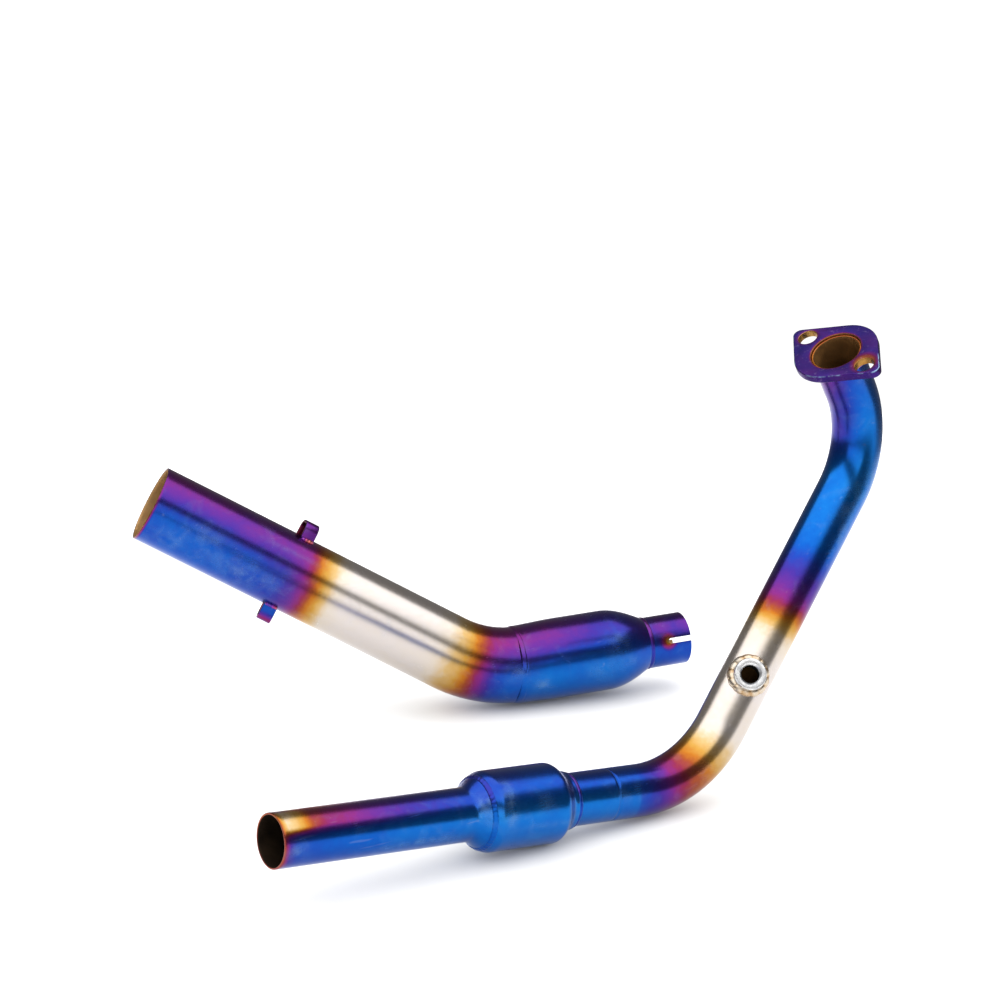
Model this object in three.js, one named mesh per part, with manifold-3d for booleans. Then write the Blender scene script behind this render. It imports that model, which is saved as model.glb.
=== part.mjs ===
// Two-piece racing exhaust: a bent header pipe with a small resonator, and the slip-on link pipe
// that carries the silencer. Millimetres, +Z up. Both pieces lie side by side on one flat surface.
import * as THREE from 'three';
import { mergeVertices } from 'three/addons/utils/BufferGeometryUtils.js';
import Module from 'manifold-3d';

const wasm = await Module();
wasm.setup();

const DEG = Math.PI / 180;
const GAP = 0.3; // clearance left between neighbouring solids

// Header pipe: thin-walled tube, swept along straights and two bends.
const PIPE_R = 16;
const PIPE_WALL = 1.2;
const HEADER_PITCH = 5.3 * DEG; // the outlet rises towards its mouth as the pipe rests on its resonator
const OUTLET_RUN = 255; // mouth of the outlet to the start of the lower bend
const LOWER_BEND = { radius: 80, angle: 55 * DEG, roll: -8.6 * DEG };
const DOWN_RUN = 167.5;
const UPPER_BEND = { radius: 55, angle: 73 * DEG, roll: 6 * DEG };
const PORT_RUN = 33; // end of the upper bend to the flange's mating face

// Stations along the header, measured from the mouth of the outlet.
const FLARE = [127, 143.5];
const SHELL_START = 137; // the outlet tube is welded to the shell part-way up the flare
const SHOULDER = [187, 198];
const SHELL_END = 200;
const NECK_INSERT = 5; // length of the neck tube inside the shell
const TUBE_SEAM = 231;
const BUNG_STATION = 363;

// Header resonator.
const SHELL_R = 24;
const SHELL_WALL = 1.4;

// Head flange, cut from plate, with two stud holes. Its outline is drawn tight round four discs: a
// small one past each stud, and two in the middle, set a little apart. It is the same turned half round.
const FLANGE_THICKNESS = 5;
const FLANGE_LUG = { x: 33.7, y: 0.5, radius: 4.8 };
const FLANGE_MIDDLE = { x: 2.4, y: 1.7, radius: 24 };
const STUD_PITCH = 54;
const STUD_HOLE_R = 6;
const FLANGE_TURN = 82.5 * DEG;
const FLANGE_EDGE = 0.5;
const FLANGE_BEAD_LEG = 4;
const TUBE_RECESS = 1.2; // the tube stops this far below the mating face

// Oxygen sensor bung, M12 size, facing out and up from the down-tube.
const BUNG_R = 10;
const BUNG_HOLE_R = 5.6;
const BUNG_CHAMFER = 1;
const BUNG_REACH = 21; // tube axis to the sealing face
const BUNG_TURN = 48 * DEG;
const BUNG_BEAD_WIDTH = 3.2;
const BUNG_BEAD_HEIGHT = 2.2;

// Link pipe: slip collar, resonator, one bend and the silencer inlet tube.
const LINK_START = [433, 190];
const LINK_YAW = -13.2 * DEG;
const LINK_PITCH = 2.5 * DEG;
const LINK_RUN = 118; // collar mouth to the start of the bend
const LINK_BEND = { radius: 86, angle: 34.8 * DEG, roll: 23 * DEG };
const SILENCER_RUN = 222;
const LINK_TUBE_R = 25.5;
const LINK_WALL = 1.2;

// Stations along the link pipe, measured from the mouth of the collar.
const COLLAR_END = 27.5;
const CONE = [29.5, 58];
const CHAMBER_END = 122.5;
const LINK_TUBE_START = 120;
const HOOK_STATION = 291.5;

const COLLAR_R = 17.5;
const COLLAR_BORE_R = 16.2; // slides over the header's outlet
const SLOT_WIDTH = 3.6;
const SLOT_LENGTH = 16.5;
const SLOT_TURN = -74 * DEG;
const CHAMBER_R = 27;
const CONE_NECK_R = 17.9;
const CHAMBER_WALL = 1.1;

// Weld beads that run round a tube: how wide each one is, and how far it stands up.
const SHELL_BEAD = { width: 2.4, height: 0.5 };
const NECK_BEAD = { width: 2.2, height: 0.9 };
const SEAM_BEAD = { width: 2, height: 0.2 };
const COLLAR_BEAD = { width: 3, height: 0.3 };
const CHAMBER_BEAD = { width: 3.2, height: 0.8 };
const BEAD_LIFT = 0.4; // from the tube to the underside of a bead

// Spring hooks: loops of bent flat strip on opposite sides of the silencer inlet tube.
const STRIP = 1.8;
const HOOK_LENGTH = 9.5; // along the tube
const HOOK_SPAN = 15; // across the loop
const HOOK_RISE = 10.5; // above the tube's surface
const HOOK_TURNS = { upper: 7.3 * DEG, lower: 187.3 * DEG };
const HOOK_SKEW = 6 * DEG;
const HOOK_CORNER = 0.75; // radius of the top's corners, as a share of half the span
const HOOK_ROOT = 4; // leg length drawn below the tube's surface before it is cut to the tube
const HOOK_BEAD_R = 1.7;

// Facets.
const ROUND = 32; // sides of a tube
const BEND_STEP = 10 * DEG;
const STEP_POINTS = 6; // along a shoulder or a cone
const BEAD_POINTS = 4; // over a bead
const CORNER_POINTS = 5; // round a corner of a hook

// Materials.
const COLOURS = {
  blued_steel: { color: 0x2349a8, roughness: 0.28, metalness: 1 },
  bare_steel: { color: 0xb9ab98, roughness: 0.35, metalness: 1 },
  violet_steel: { color: 0x4b2a86, roughness: 0.32, metalness: 1 },
  weld_bead: { color: 0x8a6a58, roughness: 0.42, metalness: 1 },
  bung_steel: { color: 0xc9c6c0, roughness: 0.3, metalness: 1 },
};

function material(slot) {
  return new THREE.MeshStandardMaterial(COLOURS[slot]);
}

// A pipe route: straights and bends laid end to end from a start frame.
// Each bend turns towards `up` rotated by `roll` about the direction of travel.
class Route {
  constructor(start, direction, pieces) {
    this.start = start;
    this.direction = direction.clone().normalize();
    this.up = new THREE.Vector3(0, 0, 1).addScaledVector(this.direction, -this.direction.z).normalize();
    this.pieces = pieces.map((piece) => {
      return piece.angle ? { ...piece, length: piece.radius * piece.angle } : { length: piece };
    });
    this.length = this.pieces.reduce((sum, piece) => sum + piece.length, 0);
  }

  // Point, direction of travel, up and side vectors at a distance along the route.
  frameAt(distance) {
    const point = this.start.clone();
    const tangent = this.direction.clone();
    const up = this.up.clone();
    let left = distance;
    for (const piece of this.pieces) {
      const last = piece === this.pieces[this.pieces.length - 1];
      const step = last ? left : Math.min(left, piece.length);
      if (piece.angle) {
        const side = tangent.clone().cross(up);
        const inward = up.clone().multiplyScalar(Math.cos(piece.roll));
        inward.addScaledVector(side, Math.sin(piece.roll));
        const turn = step / piece.radius;
        const axis = tangent.clone().cross(inward).normalize();
        point.addScaledVector(tangent, piece.radius * Math.sin(turn));
        point.addScaledVector(inward, piece.radius * (1 - Math.cos(turn)));
        tangent.applyAxisAngle(axis, turn);
        up.applyAxisAngle(axis, turn);
      } else {
        point.addScaledVector(tangent, step);
      }
      left -= step;
      if (left <= 0) break;
    }
    return { point, tangent, up, side: tangent.clone().cross(up) };
  }

  // Distances at which a sweep needs a ring: both ends, and equal steps round each bend.
  stations(from, to) {
    const marks = [from];
    let begin = 0;
    for (const piece of this.pieces) {
      const end = begin + piece.length;
      const count = piece.angle ? Math.ceil(piece.angle / BEND_STEP) : 1;
      for (let i = 0; i <= count; i += 1) {
        const mark = begin + (piece.length * i) / count;
        if (mark > marks[marks.length - 1] + 1 && mark < to - 1) marks.push(mark);
      }
      begin = end;
    }
    marks.push(to);
    return marks;
  }
}

// The stretch of a route between two distances, with one parameter step per station.
class RouteCurve extends THREE.Curve {
  constructor(route, from, to) {
    super();
    this.route = route;
    this.marks = route.stations(from, to);
  }

  get steps() {
    return this.marks.length - 1;
  }

  distance(t) {
    const index = Math.min(Math.floor(t * this.steps + 1e-9), this.steps - 1);
    const share = t * this.steps - index;
    return THREE.MathUtils.lerp(this.marks[index], this.marks[index + 1], share);
  }

  getUtoTmapping(u) {
    return u;
  }

  getPoint(t, target = new THREE.Vector3()) {
    return target.copy(this.route.frameAt(this.distance(t)).point);
  }

  getTangent(t, target = new THREE.Vector3()) {
    return target.copy(this.route.frameAt(this.distance(t)).tangent);
  }
}

function ring(outer, inner) {
  const shape = new THREE.Shape();
  shape.absarc(0, 0, outer, 0, 2 * Math.PI);
  const bore = new THREE.Path();
  bore.absarc(0, 0, inner, 0, 2 * Math.PI, true);
  shape.holes.push(bore);
  return shape;
}

// A hollow tube swept along part of a route.
function sweptTube(route, from, to, outer, wall) {
  const path = new RouteCurve(route, from, to);
  return new THREE.ExtrudeGeometry(ring(outer, outer - wall), {
    extrudePath: path,
    steps: path.steps,
    curveSegments: ROUND / 2,
  });
}

// Signed area of a closed section: positive when its points run the way that faces the ring outwards.
function sectionArea(points) {
  let area = 0;
  points.forEach(([along, radius], i) => {
    const [nextAlong, nextRadius] = points[(i + 1) % points.length];
    area += (nextAlong * radius - along * nextRadius) / 2;
  });
  return area;
}

// A ring turned about the local Z axis, from the [distance along, radius] points round its section.
function turned(points, sides = ROUND) {
  const ordered = sectionArea(points) < 0 ? [...points].reverse() : points;
  const closed = [...ordered, ordered[0]];
  const profile = closed.map(([along, radius]) => new THREE.Vector2(radius, along));
  const geometry = new THREE.LatheGeometry(profile, sides);
  geometry.rotateX(Math.PI / 2); // the lathe's axis becomes +Z
  return geometry;
}

// Points [distance along, radius] of a profile, evenly spaced between two distances.
function sampled(profile, from, to, count = STEP_POINTS) {
  const points = [];
  for (let i = 0; i <= count; i += 1) {
    const along = THREE.MathUtils.lerp(from, to, i / count);
    points.push([along, profile(along)]);
  }
  return points;
}

// Radius of the flare, easing from the outlet tube's size to the shell's.
function flareRadius(along) {
  return THREE.MathUtils.lerp(PIPE_R, SHELL_R, THREE.MathUtils.smoothstep(along, ...FLARE));
}

// Radius of the shell's shoulder, easing down to a sleeve round the neck tube.
function shoulderRadius(along) {
  const sleeve = PIPE_R + GAP + SHELL_WALL;
  return THREE.MathUtils.lerp(SHELL_R, sleeve, THREE.MathUtils.smoothstep(along, ...SHOULDER));
}

// Radius of the link pipe's cone: steep at the collar, easing into the chamber.
function coneRadius(along) {
  const share = (along - CONE[0]) / (CONE[1] - CONE[0]);
  return CONE_NECK_R + (CHAMBER_R - CONE_NECK_R) * Math.sin((Math.PI / 2) * share);
}

// The section of a spun shell: its outer line, and the same line moved inwards by the wall.
function shellSection(outer, wall) {
  const inner = outer.map(([along, radius]) => [along, radius - wall]);
  return [...outer, ...inner.reverse()];
}

// The section of a low, rounded weld bead lying on a profile.
function beadSection(centre, bead, profile) {
  const points = [];
  for (let i = 0; i <= BEAD_POINTS; i += 1) {
    const angle = (Math.PI * i) / BEAD_POINTS;
    const along = centre - (bead.width / 2) * Math.cos(angle);
    points.push([along, profile(along) + BEAD_LIFT + bead.height * Math.sin(angle)]);
  }
  return points;
}

// Matrix that takes local +Z to the direction of travel and local +X to `up` turned by an angle.
function seat(frame, turn = 0) {
  const x = frame.up.clone().applyAxisAngle(frame.tangent, turn);
  const y = frame.tangent.clone().cross(x);
  return new THREE.Matrix4().makeBasis(x, y, frame.tangent).setPosition(frame.point);
}

function solid(geometry) {
  const bare = geometry.clone();
  bare.deleteAttribute('normal');
  bare.deleteAttribute('uv');
  const merged = mergeVertices(bare, 1e-4);
  return new wasm.Manifold(new wasm.Mesh({
    numProp: 3,
    vertProperties: new Float32Array(merged.attributes.position.array),
    triVerts: new Uint32Array(merged.index.array),
  }));
}

function surface(manifold) {
  const mesh = manifold.getMesh();
  const geometry = new THREE.BufferGeometry();
  geometry.setAttribute('position', new THREE.BufferAttribute(mesh.vertProperties, 3));
  geometry.setIndex(new THREE.BufferAttribute(mesh.triVerts, 1));
  geometry.computeVertexNormals();
  return geometry;
}

// A plain cylinder along local Z.
function rod(radius, from, to, sides = ROUND) {
  const geometry = new THREE.CylinderGeometry(radius, radius, to - from, sides);
  geometry.rotateX(Math.PI / 2);
  geometry.translate(0, 0, (from + to) / 2);
  return geometry;
}

const exhaust = new THREE.Group();
const header = new THREE.Group();
const linkPipe = new THREE.Group();
exhaust.add(header, linkPipe);

function add(group, name, slot, geometry, matrix) {
  const mesh = new THREE.Mesh(geometry, material(slot));
  mesh.name = name;
  if (matrix) mesh.applyMatrix4(matrix);
  group.add(mesh);
}

const headerRoute = new Route(
  new THREE.Vector3(0, 0, SHELL_R * Math.cos(HEADER_PITCH) + SHOULDER[0] * Math.sin(HEADER_PITCH)),
  new THREE.Vector3(Math.cos(HEADER_PITCH), 0, -Math.sin(HEADER_PITCH)),
  [OUTLET_RUN, LOWER_BEND, DOWN_RUN, UPPER_BEND, PORT_RUN],
);

const linkDirection = new THREE.Vector3(
  -Math.cos(LINK_YAW) * Math.cos(LINK_PITCH),
  -Math.sin(LINK_YAW) * Math.cos(LINK_PITCH),
  -Math.sin(LINK_PITCH),
);
const linkRoute = new Route(
  new THREE.Vector3(...LINK_START, CHAMBER_R * Math.cos(LINK_PITCH) + CHAMBER_END * Math.sin(LINK_PITCH)),
  linkDirection,
  [LINK_RUN, LINK_BEND, SILENCER_RUN],
);

// Every straight piece on the first run of either route is turned about that run's axis.
const headerAxis = seat(headerRoute.frameAt(0));
const linkAxis = seat(linkRoute.frameAt(0));

// ---- Header pipe ----

function outletTube() {
  const flare = sampled(flareRadius, FLARE[0], SHELL_START - GAP / 2);
  return turned(shellSection([[0, PIPE_R], ...flare], PIPE_WALL));
}

function resonatorShell() {
  const outer = [
    ...sampled(flareRadius, SHELL_START + GAP / 2, FLARE[1]),
    ...sampled(shoulderRadius, ...SHOULDER),
    [SHELL_END, shoulderRadius(SHELL_END)],
  ];
  return turned(shellSection(outer, SHELL_WALL));
}

function resonatorNeck() {
  const outer = [[SHELL_END - NECK_INSERT, PIPE_R], [TUBE_SEAM - GAP / 2, PIPE_R]];
  return turned(shellSection(outer, PIPE_WALL));
}

// A bead that runs round the header's first straight, lying on a tube of the header's size.
function pipeBead(centre, bead) {
  return turned(beadSection(centre, bead, () => PIPE_R));
}

function headerTube() {
  const end = headerRoute.length - TUBE_RECESS;
  const tube = solid(sweptTube(headerRoute, TUBE_SEAM + GAP / 2, end, PIPE_R, PIPE_WALL));
  const port = rod(BUNG_HOLE_R + GAP, PIPE_R / 2, PIPE_R * 2, ROUND / 2);
  port.applyMatrix4(bungSeat());
  return surface(tube.subtract(solid(port)));
}

// Local +Z points out through the bung, local +Y runs along the tube.
function bungSeat() {
  const frame = headerRoute.frameAt(BUNG_STATION);
  const out = frame.up.clone().applyAxisAngle(frame.tangent, BUNG_TURN);
  const across = frame.tangent.clone().cross(out);
  return new THREE.Matrix4().makeBasis(across, frame.tangent, out).setPosition(frame.point);
}

// The tube's outside, grown by an amount, as a cutter in the bung's own frame.
function tubeCutter(growth) {
  const cutter = new THREE.CylinderGeometry(PIPE_R + growth, PIPE_R + growth, 4 * BUNG_R, 2 * ROUND);
  return solid(cutter);
}

function bung() {
  const body = turned([
    [PIPE_R / 2, BUNG_HOLE_R],
    [BUNG_REACH - BUNG_CHAMFER, BUNG_HOLE_R],
    [BUNG_REACH, BUNG_HOLE_R + BUNG_CHAMFER],
    [BUNG_REACH, BUNG_R - BUNG_CHAMFER / 2],
    [BUNG_REACH - BUNG_CHAMFER / 2, BUNG_R],
    [PIPE_R / 2, BUNG_R],
  ]);
  return surface(solid(body).subtract(tubeCutter(GAP)));
}

function bungBead() {
  const collar = turned([
    [PIPE_R / 4, BUNG_R + GAP + BUNG_BEAD_WIDTH],
    [PIPE_R + BUNG_BEAD_HEIGHT - 1, BUNG_R + GAP + BUNG_BEAD_WIDTH],
    [PIPE_R + BUNG_BEAD_HEIGHT + 1, BUNG_R + GAP],
    [PIPE_R / 4, BUNG_R + GAP],
  ]);
  const band = solid(collar).intersect(tubeCutter(GAP + BUNG_BEAD_HEIGHT));
  return surface(band.subtract(tubeCutter(GAP)));
}

// Angle of the outward normal of the straight that touches two discs, the second one further round.
function tangentNormal(disc, next) {
  const dx = next.x - disc.x;
  const dy = next.y - disc.y;
  return Math.atan2(dy, dx) - Math.acos((disc.radius - next.radius) / Math.hypot(dx, dy));
}

// The line drawn tight round a set of discs, counter-clockwise.
function discHull(discs) {
  const outline = new THREE.Shape();
  discs.forEach((disc, i) => {
    const before = discs[(i + discs.length - 1) % discs.length];
    const after = discs[(i + 1) % discs.length];
    outline.absarc(disc.x, disc.y, disc.radius, tangentNormal(before, disc), tangentNormal(disc, after));
  });
  return outline;
}

function headFlange() {
  const half = STUD_PITCH / 2;
  const upper = [FLANGE_LUG, FLANGE_MIDDLE].map((disc) => ({ ...disc, radius: disc.radius - FLANGE_EDGE }));
  const lower = upper.map((disc) => ({ ...disc, x: -disc.x, y: -disc.y }));
  const outline = discHull([...upper, ...lower]);
  const holes = [[0, PIPE_R + GAP], [half, STUD_HOLE_R], [-half, STUD_HOLE_R]];
  for (const [x, radius] of holes) {
    const hole = new THREE.Path();
    hole.absarc(x, 0, radius + FLANGE_EDGE, 2 * Math.PI, Math.PI, true);
    hole.absarc(x, 0, radius + FLANGE_EDGE, Math.PI, 0, true);
    outline.holes.push(hole);
  }
  const plate = new THREE.ExtrudeGeometry(outline, {
    depth: FLANGE_THICKNESS - 2 * FLANGE_EDGE,
    bevelEnabled: true,
    bevelThickness: FLANGE_EDGE,
    bevelSize: FLANGE_EDGE,
    bevelSegments: 1,
    curveSegments: ROUND / 4,
  });
  plate.translate(0, 0, FLANGE_EDGE - FLANGE_THICKNESS);
  return plate;
}

function flangeBead() {
  const back = -FLANGE_THICKNESS - GAP;
  const inner = PIPE_R + GAP;
  return turned([[back, inner], [back, inner + FLANGE_BEAD_LEG], [back - FLANGE_BEAD_LEG, inner]]);
}

const mouth = headerRoute.length;
add(header, 'head_flange', 'violet_steel', headFlange(), seat(headerRoute.frameAt(mouth), FLANGE_TURN));
add(header, 'head_flange_weld', 'weld_bead', flangeBead(), seat(headerRoute.frameAt(mouth)));
add(header, 'header_tube', 'blued_steel', headerTube());
add(header, 'o2_sensor_bung', 'bung_steel', bung(), bungSeat());
add(header, 'o2_bung_weld', 'weld_bead', bungBead(), bungSeat());
add(header, 'header_tube_seam', 'blued_steel', pipeBead(TUBE_SEAM, SEAM_BEAD), headerAxis);
add(header, 'resonator_neck', 'blued_steel', resonatorNeck(), headerAxis);
add(header, 'resonator_neck_weld', 'weld_bead',
  pipeBead(SHELL_END + GAP + NECK_BEAD.width / 2, NECK_BEAD), headerAxis);
add(header, 'resonator_shell', 'blued_steel', resonatorShell(), headerAxis);
add(header, 'resonator_shell_weld', 'blued_steel',
  turned(beadSection(SHELL_START, SHELL_BEAD, flareRadius)), headerAxis);
add(header, 'outlet_tube', 'blued_steel', outletTube(), headerAxis);

// ---- Link pipe ----

function slipCollar() {
  const tube = solid(turned([
    [0, COLLAR_R],
    [COLLAR_END, COLLAR_R],
    [COLLAR_END, COLLAR_BORE_R],
    [0, COLLAR_BORE_R],
  ]));
  const slot = new THREE.BoxGeometry(3 * COLLAR_R, SLOT_WIDTH, SLOT_LENGTH);
  slot.translate(0, 0, SLOT_LENGTH / 2 - SLOT_WIDTH / 2);
  const roundEnd = new THREE.CylinderGeometry(SLOT_WIDTH / 2, SLOT_WIDTH / 2, 3 * COLLAR_R, ROUND / 2);
  roundEnd.rotateZ(Math.PI / 2);
  roundEnd.translate(0, 0, SLOT_LENGTH - SLOT_WIDTH / 2);
  return surface(tube.subtract(solid(slot)).subtract(solid(roundEnd)));
}

function collarBead() {
  return turned(beadSection((COLLAR_END + CONE[0]) / 2, COLLAR_BEAD, () => CONE_NECK_R));
}

function linkChamber() {
  const outer = [...sampled(coneRadius, ...CONE, 2 * STEP_POINTS), [CHAMBER_END, CHAMBER_R]];
  return turned(shellSection(outer, CHAMBER_WALL));
}

// A bead in the corner between the end of the chamber and the tube that goes into it.
function chamberBead() {
  const inner = LINK_TUBE_R + 2 * GAP;
  const start = CHAMBER_END + GAP;
  const crest = inner + CHAMBER_BEAD.height;
  const end = start + CHAMBER_BEAD.width;
  return turned([[start, inner], [start, crest], [(start + end) / 2, crest], [end, inner]]);
}

// A loop of strip standing on the tube: two legs and a rounded top, cut to the tube's curve.
function hook() {
  const top = LINK_TUBE_R + HOOK_RISE;
  const arch = (inset) => {
    const half = HOOK_SPAN / 2 - inset;
    const bend = half * HOOK_CORNER;
    const outline = [new THREE.Vector2(LINK_TUBE_R - HOOK_ROOT, -half)];
    for (const side of [-1, 1]) {
      for (let i = 0; i <= CORNER_POINTS; i += 1) {
        const angle = (Math.PI / 2) * (i / CORNER_POINTS + (side - 1) / 2);
        const rise = top - inset - bend + bend * Math.cos(angle);
        outline.push(new THREE.Vector2(rise, side * (half - bend) + bend * Math.sin(angle)));
      }
    }
    outline.push(new THREE.Vector2(LINK_TUBE_R - HOOK_ROOT, half));
    return outline;
  };
  const strip = new THREE.Shape([...arch(0), ...arch(STRIP).reverse()]);
  const loop = new THREE.ExtrudeGeometry(strip, { depth: HOOK_LENGTH, bevelEnabled: false });
  loop.translate(-top, 0, -HOOK_LENGTH / 2);
  loop.rotateX(HOOK_SKEW);
  loop.translate(top, 0, 0);
  return surface(solid(loop).subtract(solid(hookCutter())));
}

// The tube's outside under a hook, grown by the gap.
function hookCutter() {
  return rod(LINK_TUBE_R + GAP, -2 * HOOK_LENGTH, 2 * HOOK_LENGTH, 2 * ROUND);
}

// A short bead along the outside of one leg, where it meets the tube.
function hookBead(side) {
  const reach = HOOK_SPAN / 2 + GAP + HOOK_BEAD_R;
  const lean = Math.asin(reach / LINK_TUBE_R);
  const bead = new THREE.CapsuleGeometry(HOOK_BEAD_R, HOOK_LENGTH - 2 * HOOK_BEAD_R, BEAD_POINTS, ROUND / 4);
  bead.rotateX(Math.PI / 2);
  bead.rotateX(HOOK_SKEW);
  bead.translate(LINK_TUBE_R * Math.cos(lean) + GAP, side * reach, 0);
  return surface(solid(bead).subtract(solid(hookCutter())));
}

add(linkPipe, 'slip_collar', 'violet_steel', slipCollar(), seat(linkRoute.frameAt(0), SLOT_TURN));
add(linkPipe, 'slip_collar_weld', 'violet_steel', collarBead(), linkAxis);
add(linkPipe, 'link_chamber', 'blued_steel', linkChamber(), linkAxis);
add(linkPipe, 'link_chamber_weld', 'blued_steel', chamberBead(), linkAxis);
add(linkPipe, 'link_tube', 'bare_steel',
  sweptTube(linkRoute, LINK_TUBE_START, linkRoute.length, LINK_TUBE_R, LINK_WALL));

for (const [place, turn] of Object.entries(HOOK_TURNS)) {
  const base = seat(linkRoute.frameAt(HOOK_STATION), turn);
  add(linkPipe, `spring_hook_${place}`, 'violet_steel', hook(), base);
  add(linkPipe, `spring_hook_${place}_weld_a`, 'weld_bead', hookBead(-1), base);
  add(linkPipe, `spring_hook_${place}_weld_b`, 'weld_bead', hookBead(1), base);
}

// Origin at the middle of the underside of the whole set.
const box = new THREE.Box3().setFromObject(exhaust, true);
const middle = box.getCenter(new THREE.Vector3());
exhaust.position.set(-middle.x, -middle.y, -box.min.z);
exhaust.updateMatrixWorld(true);

export default exhaust;
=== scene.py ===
"""Looks for the two-piece racing exhaust: smooth heat-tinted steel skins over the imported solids.

Sizes are millimetres and match the solids, apart from the link chamber's slight taper.
Along each pipe a place is a distance from its mouth (the outlet or the collar) and a turn
about the direction of travel, measured from the side that faces up.
"""

import math

import bmesh
import bpy
import numpy as np
from mathutils import Matrix, Vector


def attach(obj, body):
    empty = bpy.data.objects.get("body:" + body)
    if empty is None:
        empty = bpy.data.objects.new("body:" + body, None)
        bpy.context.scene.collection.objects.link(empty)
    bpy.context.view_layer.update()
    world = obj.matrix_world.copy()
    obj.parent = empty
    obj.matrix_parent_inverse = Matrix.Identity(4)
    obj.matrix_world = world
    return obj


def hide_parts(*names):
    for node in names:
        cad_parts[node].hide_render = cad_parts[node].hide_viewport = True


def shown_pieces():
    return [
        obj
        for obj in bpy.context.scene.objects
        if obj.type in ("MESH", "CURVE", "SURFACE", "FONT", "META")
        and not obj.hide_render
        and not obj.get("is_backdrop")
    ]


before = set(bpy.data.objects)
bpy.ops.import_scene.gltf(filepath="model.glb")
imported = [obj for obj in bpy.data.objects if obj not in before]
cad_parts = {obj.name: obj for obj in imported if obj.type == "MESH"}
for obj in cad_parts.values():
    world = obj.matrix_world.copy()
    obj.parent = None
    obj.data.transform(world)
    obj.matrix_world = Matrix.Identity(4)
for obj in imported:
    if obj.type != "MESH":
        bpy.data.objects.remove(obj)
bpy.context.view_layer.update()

MM = 0.001
TAU = 2 * math.pi
SIDES = 96
STEP = 2.0
FINE_STEP = 1.0
FLARE_STEP = 0.8
SEAM_GAP = 0.15
BEAD_ROOT = 0.4

# Header pipe.
HEADER_PITCH = math.radians(5.3)
HEADER_START = Vector((-229.0596, -162.1586, 41.1707))
HEADER_DIRECTION = Vector((math.cos(HEADER_PITCH), 0, -math.sin(HEADER_PITCH)))
OUTLET_RUN = 255
LOWER_BEND = (80, math.radians(55), math.radians(-8.6))
DOWN_RUN = 167.5
UPPER_BEND = (55, math.radians(73), math.radians(6))
PORT_RUN = 33
PIPE_R = 16
PIPE_WALL = 1.2
FLARE_START = 127
FLARE_END = 143.5
SHELL_START = 137
SHOULDER_START = 187
SHOULDER_END = 198
SHELL_END = 200
NECK_START = 195
TUBE_SEAM = 231
BUNG_STATION = 363
SHELL_R = 24
SHELL_WALL = 1.4
SLEEVE_R = PIPE_R + 0.3 + SHELL_WALL
FLANGE_THICKNESS = 5
FLANGE_DISCS = [(33.7, 0.5, 4.8), (2.4, 1.7, 24), (-33.7, -0.5, 4.8), (-2.4, -1.7, 24)]
STUD_PITCH = 54
STUD_HOLE_R = 6
FLANGE_TURN = math.radians(82.5)
TUBE_RECESS = 1.2
BUNG_R = 10
BUNG_HOLE_R = 5.6
BUNG_REACH = 21
BUNG_TURN = math.radians(48)
BUNG_FOOT = 12.5
BUNG_SHOULDER = 17
# The bung's outer end as (depth below its face, radius), from the outside into the hole.
BUNG_FACE = [
    (0.8, BUNG_R), (0.55, BUNG_R - 0.06), (0.1, BUNG_R - 0.4), (0, BUNG_R - 0.65),
    (0, 8.4), (0, 7.2), (0.03, 6.95), (0.4, 6.5), (1.0, 5.9),
]
THREAD_TOP = 19.6
THREAD_END = 12.6
HALF_THREAD = 0.625
THREAD_DEPTH = 0.45
TUBE_PORT_R = 7.6
FLANGE_EDGE = 0.7
# The flange weld's section as (distance past the plate's back, height over the tube, hidden).
FLANGE_WELD = [
    (0.4, -0.3, True), (0.4, 4.4, False), (-0.6, 4.2, False), (-1.6, 3.1, False),
    (-2.6, 2.0, False), (-3.6, 1.0, False), (-4.4, 0.1, False), (-4.4, -0.3, True),
]

# Link pipe.
LINK_YAW = math.radians(-13.2)
LINK_PITCH = math.radians(2.5)
LINK_START = Vector((203.9404, 27.8414, 32.3177))
LINK_DIRECTION = Vector((
    -math.cos(LINK_YAW) * math.cos(LINK_PITCH),
    -math.sin(LINK_YAW) * math.cos(LINK_PITCH),
    -math.sin(LINK_PITCH),
))
LINK_RUN = 118
LINK_BEND = (86, math.radians(34.8), math.radians(23))
SILENCER_RUN = 222
LINK_TUBE_R = 25.5
LINK_WALL = 1.2
COLLAR_END = 27.5
CONE_START = 29.5
CONE_END = 58
CHAMBER_END = 122.5
LINK_TUBE_START = 120
HOOK_STATION = 291.5
COLLAR_R = 17.5
COLLAR_BORE_R = 16.2
SLOT_WIDTH = 3.6
SLOT_LENGTH = 16.5
SLOT_TURN = math.radians(-74)
CHAMBER_R = 27
TAPER_START = 92
CHAMBER_MOUTH_R = 26.1
CONE_NECK_R = 17.9
CHAMBER_WALL = 1.1
# The chamber weld's section as (distance past the chamber's end, radius, hidden).
CHAMBER_WELD = [
    (-0.6, LINK_TUBE_R - 0.2, True), (-0.6, CHAMBER_MOUTH_R - 0.4, False),
    (-0.25, CHAMBER_MOUTH_R - 0.02, False), (0.8, CHAMBER_MOUTH_R - 0.1, False),
    (2.2, LINK_TUBE_R + 0.2, False), (4.0, LINK_TUBE_R - 0.1, False),
]
INNER_SEAM_TURN = math.radians(150)
INNER_SEAM_HALF_TURN = 0.03
INNER_SEAM_DEPTH = 0.35
STRIP = 1.8
HOOK_LENGTH = 9.5
HOOK_SPAN = 15
HOOK_RISE = 10.5
HOOK_SKEW = math.radians(6)
HOOK_TURNS = {"upper": math.radians(7.3), "lower": math.radians(187.3)}
# Each strip's outer tint, and how far it drops in the warm band.
HOOK_TINTS = {"upper": (0.54, 0.3), "lower": (0.8, 0.34)}
HOOK_INNER_TINT = 0.42
STRIP_EDGE = 0.45


# ---- Shapes ----


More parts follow.
